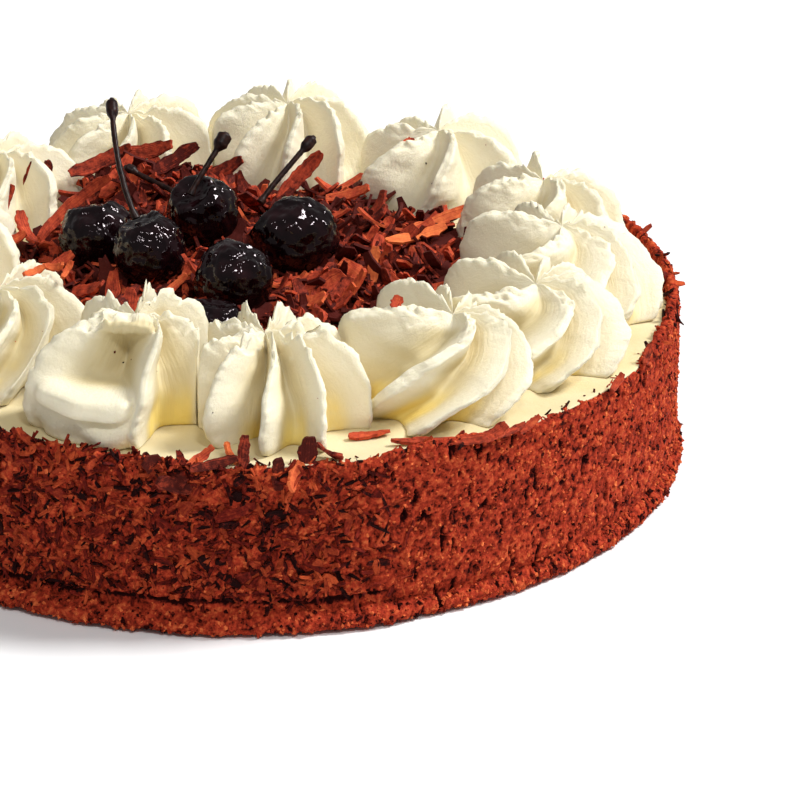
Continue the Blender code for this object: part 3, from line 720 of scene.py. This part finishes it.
def scatterTree(name, shelf, material):
    # pieces laid on a surface: Amount names the attribute that says where
    tree, given = startTree(name, {
        "Amount": ("String", "wall"), "Density": ("Float", 1000.0), "Small": ("Float", 0.6), "Large": ("Float", 1.4),
        "Stretch": ("Float", 0.3), "Lie": ("Float", 0.4), "Lift": ("Float", 0.0), "Seed": ("Int", 1)})
    amount = addNode(tree, "GeometryNodeInputNamedAttribute", {"data_type": "FLOAT"}, Name=given["Amount"])
    spread = addNode(tree, "GeometryNodeDistributePointsOnFaces", {"distribute_method": "RANDOM"},
                     Mesh=given["Geometry"], Seed=given["Seed"])
    plug(tree, given["Density"] * Field(tree, amount.outputs[0]).within(0.0, 1.0), spread.inputs["Density"])
    number = Field(tree, addNode(tree, "GeometryNodeInputIndex").outputs[0])
    lie = given["Lie"]
    tilt = combine(tree, chance(tree, -1.0, 1.0, number, 11) * lie, chance(tree, -1.0, 1.0, number, 12) * lie,
                   chance(tree, 0.0, math.tau, number, 13))
    turned = addNode(tree, "FunctionNodeRotateRotation", {"rotation_space": "LOCAL"},
                     Rotation=spread.outputs["Rotation"])
    euler = addNode(tree, "FunctionNodeEulerToRotation", Euler=tilt)
    tree.links.new(euler.outputs[0], turned.inputs["Rotate By"])
    size = chance(tree, 0.0, 1.0, number, 14) ** 1.6 * (given["Large"] - given["Small"]) + given["Small"]
    longer = chance(tree, -1.0, 1.0, number, 15) * given["Stretch"] + 1.0
    raised = addNode(tree, "GeometryNodeSetPosition", Geometry=spread.outputs["Points"])
    plug(tree, scaled(tree, spread.outputs["Normal"], given["Lift"] * size), raised.inputs["Offset"])
    shapes = addNode(tree, "GeometryNodeCollectionInfo", {"transform_space": "ORIGINAL"}, Collection=shelf,
                     Separate_Children=True, Reset_Children=True)
    pick = addNode(tree, "FunctionNodeRandomValue", {"data_type": "INT"})
    pick.inputs[5].default_value = 99
    plug(tree, number, pick.inputs["ID"])
    placed = addNode(tree, "GeometryNodeInstanceOnPoints", Points=raised.outputs[0], Instance=shapes.outputs[0],
                     Pick_Instance=True, Instance_Index=pick.outputs[2], Rotation=turned.outputs[0])
    plug(tree, combine(tree, size * longer, size, size), placed.inputs["Scale"])
    keep = addNode(tree, "GeometryNodeStoreNamedAttribute", {"data_type": "FLOAT", "domain": "INSTANCE"},
                   Geometry=placed.outputs[0], Name="shade")
    plug(tree, chance(tree, -0.65, 0.70, number, 16), keep.inputs["Value"])
    # nothing below the board or out past the foot
    loose = addNode(tree, "GeometryNodeRealizeInstances", Geometry=keep.outputs[0])
    x, y, z = separate(tree, addNode(tree, "GeometryNodeInputPosition").outputs[0])
    reach = (x * x + y * y).math("SQRT")
    inward = (0.1242 / reach).within(0.0, 1.0)
    held = addNode(tree, "GeometryNodeSetPosition", Geometry=loose.outputs[0],
                   Position=combine(tree, x * inward, y * inward, z.math("MAXIMUM", 0.0002)))
    return endTree(tree, held.outputs[0], material)


def scatterOn(name, surface, shelf, material, values):
    tree = scatterTree(name + "Tree", shelf, material)
    return addPiece(name, plainMesh(name, tree, values, surface.data.copy()))


rng = random.Random(11)


def flakeVariants(count, length, width, bend, twist, steps, across, thickness):
    variants = []
    for number in range(count):
        variants.append({
            "Length": rng.uniform(*length), "Width": rng.uniform(*width), "Bend": rng.uniform(*bend),
            "Twist": rng.uniform(-twist, twist), "Seed": number * 3.7, "Steps": steps, "Across": across,
            "Thickness": thickness})
    return variants


flakes = flakeTree()
crumbs = crumbTree()
broadFlakes = shapeSet("broadFlake", flakes, flakeVariants(12, (0.009, 0.020), (0.0025, 0.0045), (0.2, 1.9), 0.9, 8, 3, 0.0007))
shortFlakes = shapeSet("shortFlake", flakes, flakeVariants(10, (0.004, 0.008), (0.0012, 0.0026), (0.2, 1.6), 0.8, 5, 2, 0.0005))
slivers = shapeSet("sliver", flakes, flakeVariants(8, (0.0025, 0.006), (0.0005, 0.0011), (0.1, 1.2), 0.8, 3, 2, 0.0005))
grains = shapeSet("grain", crumbs, [{"Size": 0.0005, "Flat": 0.5 + 0.06 * n, "Seed": n * 2.3} for n in range(6)])


def dressCoat():
    wall = bpy.data.objects["chocolateCoat"]
    scatterOn("coatCrumbs", wall, grains, crumbChocolate, {
        "Amount": "crumb", "Density": 360000.0, "Small": 0.5, "Large": 1.3, "Lie": 0.8, "Seed": 3})
    scatterOn("footCrumbs", wall, grains, crumbChocolate, {
        "Amount": "foot", "Density": 600000.0, "Small": 0.5, "Large": 1.5, "Lie": 0.8, "Seed": 4})
    scatterOn("coatSlivers", wall, slivers, shredChocolate, {
        "Amount": "shreds", "Density": 300000.0, "Small": 0.6, "Large": 1.3, "Lie": 0.6, "Seed": 5})
    scatterOn("coatFlakes", wall, shortFlakes, shredChocolate, {
        "Amount": "shreds", "Density": 42000.0, "Small": 0.5, "Large": 1.3, "Lie": 0.5, "Seed": 6})
    scatterOn("coatShavings", wall, broadFlakes, shredChocolate, {
        "Amount": "coarse", "Density": 12000.0, "Small": 0.3, "Large": 0.7, "Lie": 0.35, "Lift": 0.0006, "Seed": 19})
    scatterOn("rimFlakes", wall, shortFlakes, shredChocolate, {
        "Amount": "rim", "Density": 60000.0, "Small": 0.4, "Large": 1.0, "Lie": 0.9, "Seed": 7})
    scatterOn("rimCrumbs", wall, slivers, shredChocolate, {
        "Amount": "edge", "Density": 90000.0, "Small": 0.4, "Large": 0.9, "Lie": 0.9, "Seed": 17})
    scatterOn("creamDust", bpy.data.objects["creamTop"], grains, shredChocolate, {
        "Amount": "dust", "Density": 26000.0, "Small": 0.25, "Large": 0.9, "Lie": 0.9, "Seed": 21})
    # a few specks that strayed onto the swirls
    shapes = bmesh.new()
    for name in ("pipedSwirl_01", "pipedSwirl_02", "pipedSwirl_03", "pipedSwirl_06", "pipedSwirl_08"):
        shapes.from_mesh(bpy.data.objects[name].data)
    under = bpy.data.meshes.new("under")
    shapes.to_mesh(under)
    swirlTops = bpy.data.objects.new("under", under)
    scatterOn("straySpecks", swirlTops, grains, shredChocolate, {
        "Amount": "along", "Density": 3500.0, "Small": 0.3, "Large": 0.8, "Lie": 0.9, "Seed": 23})
    bpy.data.objects.remove(swirlTops)
    print("coat dressed")


dressCoat()


# the heap of shavings --------------------------------------------------------

def heapTree():
    tree, given = startTree("heapTree", {"Share": ("Float", 0.7)})
    finer = addNode(tree, "GeometryNodeSubdivideMesh", Mesh=given["Geometry"], Level=2)
    x, y, z = separate(tree, addNode(tree, "GeometryNodeInputPosition").outputs[0])
    floorLevel = creamTop - 0.0002
    lower = (z - floorLevel) * given["Share"] + floorLevel
    lumps = noiseAt(tree, combine(tree, x, y, z), 240.0, 3.0, 0.6)
    above = (z - floorLevel).rise(0.0005, 0.003)
    place = combine(tree, x, y, lower + lumps * 0.004 * above)
    moved = addNode(tree, "GeometryNodeSetPosition", Geometry=finer.outputs[0], Position=place)
    kept = keepValue(tree, moved.outputs[0], "top", above)
    # painted shade: the core is set darker overall, lighter on high lumps and darkest in low spots, standing for the
    # shade between the shavings
    kept = keepValue(tree, kept, "height", lumps * 0.8 - 0.25)
    smooth = addNode(tree, "GeometryNodeSetShadeSmooth", Geometry=kept)
    return endTree(tree, smooth.outputs[0], crumbChocolate)


def makeHeap():
    start = frame["nodes"]["shavings_mound"].data.copy()
    start.transform(frame["nodes"]["shavings_mound"].matrix_world)
    mesh = plainMesh("shavingsCore", heapTree(), {"Share": 0.72}, start)
    core = addPiece("shavingsCore", mesh, ["shavings_mound"])
    scatterOn("shavingsBroad", core, broadFlakes, flakeChocolate, {
        "Amount": "top", "Density": 70000.0, "Small": 0.6, "Large": 1.25, "Lie": 0.55, "Lift": 0.0022, "Seed": 8})
    scatterOn("shavingsShort", core, shortFlakes, flakeChocolate, {
        "Amount": "top", "Density": 110000.0, "Small": 0.8, "Large": 1.8, "Lie": 0.8, "Lift": 0.0010, "Seed": 9})
    scatterOn("shavingsSlivers", core, slivers, flakeChocolate, {
        "Amount": "top", "Density": 70000.0, "Small": 0.7, "Large": 1.6, "Lie": 0.9, "Lift": 0.0014, "Seed": 10})
    print("shavings heaped")


makeHeap()


# single flakes that stand out: middle, turn (about Z), slope, roll in degrees, then length, width,
# bend and shade (-1 dark to 1 light), all lengths in millimetres
standouts = [
    ((-50.0, 8.0, 68.5), (35, -30, 70), (30, 3.4, 1.5, 0.1)),
    ((-60.0, 41.0, 62.0), (100, -75, 10), (16, 3.0, 0.5, -0.3)),
    ((-66.0, 38.0, 62.0), (70, -60, 25), (18, 3.6, 0.7, -0.2)),
    ((-72.0, 26.0, 62.0), (60, -50, 40), (14, 3.4, 0.6, 0.0)),
    ((-64.0, 15.0, 60.0), (120, -30, 20), (13, 4.0, 0.9, 0.1)),
    ((-70.0, 4.0, 60.0), (20, -15, 30), (14, 3.0, 0.8, 0.3)),
    ((-46.0, 52.0, 66.5), (15, -20, 50), (20, 4.4, 0.8, -0.1)),
    ((-34.0, 55.0, 68.5), (-10, -15, 55), (19, 4.6, 0.9, 0.0)),
    ((-24.0, 52.0, 67.0), (25, -25, 60), (16, 4.0, 0.8, -0.4)),
    ((-41.0, 44.0, 64.5), (60, -30, 20), (17, 4.2, 0.7, 0.2)),
    ((-12.0, 50.0, 63.5), (10, -25, 60), (17, 4.0, 0.8, -0.2)),
    ((12.0, 52.0, 61.5), (30, -40, 60), (19, 4.0, 0.6, 0.0)),
    ((26.0, 45.0, 59.0), (-15, -20, 30), (14, 4.0, 0.6, 0.3)),
    ((46.0, 14.0, 58.5), (24, -5, 30), (19, 3.4, 0.5, 0.9)),
    ((52.0, 24.0, 58.5), (30, -10, 60), (23, 3.2, 0.4, 0.6)),
    ((36.0, 26.0, 58.0), (150, -15, 30), (16, 3.6, 0.8, 0.3)),
    ((20.0, -24.0, 58.5), (20, -25, 45), (13, 5.0, 0.7, 0.2)),
    ((16.0, -34.0, 57.5), (-30, -20, 35), (12, 5.4, 0.6, 0.4)),
    ((26.0, -30.0, 57.5), (70, -35, 20), (12, 4.4, 0.7, 0.0)),
    ((34.0, -12.0, 58.0), (80, -60, 15), (13, 3.2, 0.5, 0.8)),
    ((-20.7, -34.0, 61.5), (40, -25, 50), (12, 2.2, 1.3, 0.5)),
    ((-33.0, -36.0, 60.0), (60, -10, 30), (12, 3.0, 0.8, -0.3)),
    ((-44.0, -30.0, 60.0), (-40, -25, 40), (13, 3.6, 0.8, 0.0)),
    ((-55.0, -14.0, 60.0), (30, -20, 30), (14, 3.6, 0.8, 0.2)),
    ((-18.5, -119.8, 45.8), (-8, 30, 75), (13, 5.0, 1.5, -0.4)),
    ((-16.0, -121.0, 42.5), (10, 20, 80), (10, 4.0, 1.4, -0.3)),
    ((-6.0, -119.5, 48.0), (15, -8, 60), (13, 2.6, 0.6, -0.3)),
    ((-9.5, -117.5, 49.0), (35, -25, 50), (9, 2.4, 0.8, 0.3)),
    ((1.6, -116.5, 49.8), (80, -60, 10), (9, 3.0, 0.6, -0.2)),
    ((-1.5, -115.0, 49.0), (120, -35, 30), (7, 2.0, 0.8, 0.7)),
    ((10.5, -119.6, 45.0), (88, -88, 20), (9, 3.4, 0.8, -0.4)),
    ((18.0, -116.5, 48.2), (80, -70, 15), (11, 5.0, 0.8, -0.5)),
    ((23.5, -113.5, 49.2), (150, -15, 40), (8, 3.6, 0.9, -0.1)),
    ((15.0, -119.6, 44.5), (60, -50, 75), (8, 4.0, 0.7, 0.6)),
    ((33.3, -100.0, 47.6), (19, 0, 0), (11, 2.8, 0.2, 0.2)),
    ((44.0, -104.5, 47.9), (4, 0, 10), (10, 2.2, 0.3, 0.0)),
    ((56.0, -104.5, 48.0), (-2, -4, 20), (15, 2.6, 0.3, 0.1)),
    ((65.5, -101.0, 48.6), (20, -25, 30), (8, 3.4, 0.6, 0.1)),
    ((69.8, -99.0, 48.3), (35, -8, 20), (10, 1.6, 0.4, -0.1)),
    ((75.0, -95.5, 48.4), (30, -30, 40), (7, 1.8, 0.6, 0.2)),
    ((40.5, -72.5, 73.0), (60, -40, 30), (4, 3.0, 0.6, 0.2)),
    ((44.0, 67.0, 66.5), (10, -10, 30), (3.5, 3.0, 0.6, 0.2)),
    ((-56.0, -53.5, 74.5), (30, -10, 40), (7, 2.0, 1.2, 0.7)),
    ((-51.5, -51.0, 75.0), (-35, -15, 40), (8, 2.0, 1.4, 0.6)),
    ((-47.5, -53.0, 74.5), (60, -35, 20), (6, 1.8, 1.2, 0.5)),
    ((99.0, -69.5, 49.0), (50, -35, 30), (6, 2.0, 0.7, 0.1)),
    ((108.0, -52.0, 49.5), (70, -45, 20), (6, 2.0, 0.7, -0.1)),
]


def addStandouts():
    shapes = bmesh.new()
    shade = shapes.verts.layers.float.new("shade")
    for number, (middle, turns, size) in enumerate(standouts):
        length, width, bend, toneAndShade = size
        mesh = plainMesh("standout", flakes, {
            "Length": length * mm, "Width": width * mm, "Bend": bend, "Twist": rng.uniform(-0.7, 0.7),
            "Seed": number * 5.1, "Steps": 16, "Across": 5, "Thickness": 0.0008})
        turn, slope, roll = (math.radians(value) for value in turns)
        way = Euler((roll, slope, turn), "XYZ").to_matrix().to_4x4()
        lift = Matrix.Translation((0, 0, -length * mm * bend / 8))
        mesh.transform(Matrix.Translation(Vector(middle) * mm) @ way @ lift)
        first = len(shapes.verts)
        shapes.from_mesh(mesh)
        shapes.verts.ensure_lookup_table()
        for vertex in shapes.verts[first:]:
            vertex[shade] = toneAndShade
    joined = bpy.data.meshes.new("standoutFlakes")
    shapes.to_mesh(joined)
    joined.materials.append(flakeChocolate)
    addPiece("standoutFlakes", joined)


addStandouts()


# cherries and stems ----------------------------------------------------------

def cherryTree():
    # a syrupy cherry: round, with soft dents, fine wrinkles and a dimple for the stem
    tree, given = startTree("cherryTree", {
        "Radius": ("Float", 0.0105), "Centre": ("Vector", (0, 0, 0)), "Stem Way": ("Vector", (0, 0, 1)),
        "Dents": ("Float", 0.20), "Wrinkles": ("Float", 0.10), "Seed": ("Float", 0.0),
        "Bump Way": ("Vector", (0, 0, -1)), "Bump": ("Float", 0.0)})
    ball = addNode(tree, "GeometryNodeMeshUVSphere", Segments=120, Rings=84, Radius=1.0)
    way = addNode(tree, "GeometryNodeInputPosition").outputs[0]
    x, y, z = separate(tree, way)
    sx, sy, sz = separate(tree, given["Stem Way"])
    toward = x * sx + y * sy + z * sz
    moved = combine(tree, x + given["Seed"], y, z)
    dents = noiseAt(tree, moved, 1.3, 1.0, 0.4) * given["Dents"]
    folds = (noiseAt(tree, moved, 2.6, 3.0, 0.55).math("ABSOLUTE") - 0.10) * given["Wrinkles"] * 2.0
    size = 1.0 + dents + folds - toward.rise(0.80, 1.0) * 0.26 + toward.rise(0.60, 0.80) * 0.03
    bx, by, bz = separate(tree, given["Bump Way"])
    size = size + (x * bx + y * by + z * bz).rise(0.72, 0.98) * given["Bump"]
    place = summed(tree, scaled(tree, way, size * given["Radius"]), given["Centre"])
    placed = addNode(tree, "GeometryNodeSetPosition", Geometry=ball.outputs["Mesh"], Position=place)
    smooth = addNode(tree, "GeometryNodeSetShadeSmooth", Geometry=placed.outputs[0])
    return endTree(tree, smooth.outputs[0], cherrySkin)


cherries = {
    "cherry_1": {"way": (-0.2, 0.3, 0.9), "seed": 1.0, "bump": 0.0},
    "cherry_2": {"way": (-0.33, 0.10, 0.93), "seed": 4.0, "bump": 0.0},
    "cherry_3": {"way": (-0.30, -0.45, 0.84), "seed": 7.0, "bump": 0.0},
    "cherry_4": {"way": (-0.75, 0.25, 0.60), "seed": 10.0, "bump": 0.12},
    "cherry_5": {"way": (0.3, 0.6, 0.7), "seed": 13.0, "bump": 0.0},
    "cherry_6": {"way": (0.1, 0.2, 0.97), "seed": 16.0, "bump": 0.0},
}


def makeCherries():
    tree = cherryTree()
    for node, shape in cherries.items():
        low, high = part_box(node)
        centre = (low + high) / 2
        mesh = plainMesh(node.replace("_", "Fruit"), tree, {
            "Radius": max(high.x - low.x, high.y - low.y) / 2, "Centre": tuple(centre), "Seed": shape["seed"],
            "Stem Way": tuple(Vector(shape["way"]).normalized()), "Bump": shape["bump"],
            "Bump Way": tuple(Vector((0.95, -0.1, 0.3)).normalized())})
        addPiece(mesh.name, mesh, [node])
    print("cherries set")


def stemTree():
    # a stalk along a curve, thicker where it leaves the cherry, with a knob at its end
    tree, given = startTree("stemTree", {
        "Root": ("Vector", (0, 0, 0)), "Root Way": ("Vector", (0, 0, 0)), "Neck Way": ("Vector", (0, 0, 0)),
        "End": ("Vector", (0, 0, 0)), "Thickness": ("Float", 0.0008), "Knob": ("Float", 0.0017),
        "Knob Start": ("Float", 0.8)})
    line = addNode(tree, "GeometryNodeCurvePrimitiveBezierSegment", Resolution=72, Start=given["Root"],
                   Start_Handle=given["Root Way"], End_Handle=given["Neck Way"], End=given["End"])
    even = addNode(tree, "GeometryNodeResampleCurve", Curve=line.outputs[0], Count=64)
    share = Field(tree, addNode(tree, "GeometryNodeSplineParameter").outputs["Factor"])
    root = 1.0 - share.rise(0.0, 0.12)
    swelling = share.rise(given["Knob Start"], given["Knob Start"] * 0.6 + 0.4)
    rounding = (1.0 - share.rise(0.95, 1.0) * 0.65)
    radius = given["Thickness"] * (1.0 + root * 0.5) * (1.0 - swelling) + given["Knob"] * swelling * rounding
    wide = addNode(tree, "GeometryNodeSetCurveRadius", Curve=even.outputs[0], Radius=radius)
    ring = addNode(tree, "GeometryNodeCurvePrimitiveCircle", Resolution=16, Radius=1.0)
    tube = addNode(tree, "GeometryNodeCurveToMesh", Curve=wide.outputs[0], Profile_Curve=ring.outputs[0], Fill_Caps=True)
    if "Scale" in tube.inputs:
        plug(tree, radius, tube.inputs["Scale"])
    place = addNode(tree, "GeometryNodeInputPosition").outputs[0]
    normal = addNode(tree, "GeometryNodeInputNormal").outputs[0]
    rough = noiseAt(tree, place, 700.0, 2.0, 0.6) * 0.0005
    moved = addNode(tree, "GeometryNodeSetPosition", Geometry=tube.outputs[0], Offset=scaled(tree, normal, rough))
    smooth = addNode(tree, "GeometryNodeSetShadeSmooth", Geometry=moved.outputs[0])
    return endTree(tree, smooth.outputs[0], stemSkin)


# root, the two handles and the end of each stalk, in millimetres, then the share of it before the knob
stems = {
    "stem_1": ((-31.4, -14.0, 73.8), (-35.2, -9.5, 81.0), (-38.0, -2.0, 90.0), (-39.2, 13.6, 99.0), 0.80),
    "stem_2": ((-17.4, 7.5, 72.6), (-15.4, 10.0, 76.5), (-12.0, 13.0, 80.5), (-7.4, 18.6, 87.0), 0.70),
    "stem_3": ((2.4, 0.0, 73.2), (6.0, 4.0, 77.5), (11.0, 8.5, 81.5), (17.2, 15.6, 87.0), 0.76),
    "stem_4": ((-20.5, 33.0, 62.2), (-26.0, 37.0, 63.5), (-32.0, 41.0, 65.0), (-38.5, 43.5, 67.5), 0.78),
}


def makeStems():
    tree = stemTree()
    for node, (root, rootWay, neckWay, end, knobStart) in stems.items():
        points = [tuple(value * mm for value in point) for point in (root, rootWay, neckWay, end)]
        mesh = plainMesh(node.replace("stem_", "stalk"), tree, {
            "Root": points[0], "Root Way": points[1], "Neck Way": points[2], "End": points[3],
            "Knob Start": knobStart, "Knob": 0.0021 if node == "stem_2" else 0.0017})
        addPiece(mesh.name, mesh, [node])
    print("stalks set")


makeCherries()
makeStems()
for shelf in (broadFlakes, shortFlakes, slivers, grains):
    clearShelf(shelf)


# stage ---------------------------------------------------------------------

def makeStage():
    floor = bpy.data.objects.new("floor", bpy.data.meshes.new("floor"))
    floor.data.from_pydata([(-3, -3, 0), (3, -3, 0), (3, 3, 0), (-3, 3, 0)], [], [(0, 1, 2, 3)])
    bpy.context.scene.collection.objects.link(floor)
    material, tree, shader = newMaterial("paleFloor")
    shader.inputs["Base Color"].default_value = (0.92, 0.92, 0.92, 1)
    floor.data.materials.append(material)


def addLight(name, place, target, size, power, colour=(1, 1, 1)):
    lamp = bpy.data.lights.new(name, "AREA")
    lamp.size = size
    lamp.energy = power
    lamp.color = colour
    holder = bpy.data.objects.new(name, lamp)
    holder.location = place
    holder.rotation_euler = (Vector(target) - Vector(place)).to_track_quat("-Z", "Y").to_euler()
    bpy.context.scene.collection.objects.link(holder)


view = {
    "aim": (0.0413, 0.0, 0.0130),
    "distance": 1.139,
    "down": 23.8,
    "lens": 180.0,
}


def makeCamera():
    data = bpy.data.cameras.new("camera")
    data.lens = view["lens"]
    data.sensor_width = 36.0
    camera = bpy.data.objects.new("camera", data)
    down = math.radians(view["down"])
    back = Vector((0.0, -math.cos(down), math.sin(down)))
    camera.location = Vector(view["aim"]) + back * view["distance"]
    camera.rotation_euler = (-back).to_track_quat("-Z", "Y").to_euler()
    bpy.context.scene.collection.objects.link(camera)
    bpy.context.scene.camera = camera


makeStage()
makeCamera()
addLight("keyLight", (2.56, 0.45, 3.09), (0, 0, 0.05), 1.00, 190.0)
addLight("frontLight", (0.50, -1.55, 2.15), (0, 0, 0.05), 0.35, 19.0)
addLight("sparkLight", (-0.45, -1.05, 1.60), (0, 0, 0.05), 0.15, 3.0)
world = bpy.data.worlds.new("studio")
world.use_nodes = True
world.node_tree.nodes["Background"].inputs[0].default_value = (1, 1, 1, 1)
world.node_tree.nodes["Background"].inputs[1].default_value = 0.28
bpy.context.scene.world = world
bpy.context.scene.view_settings.view_transform = "Standard"
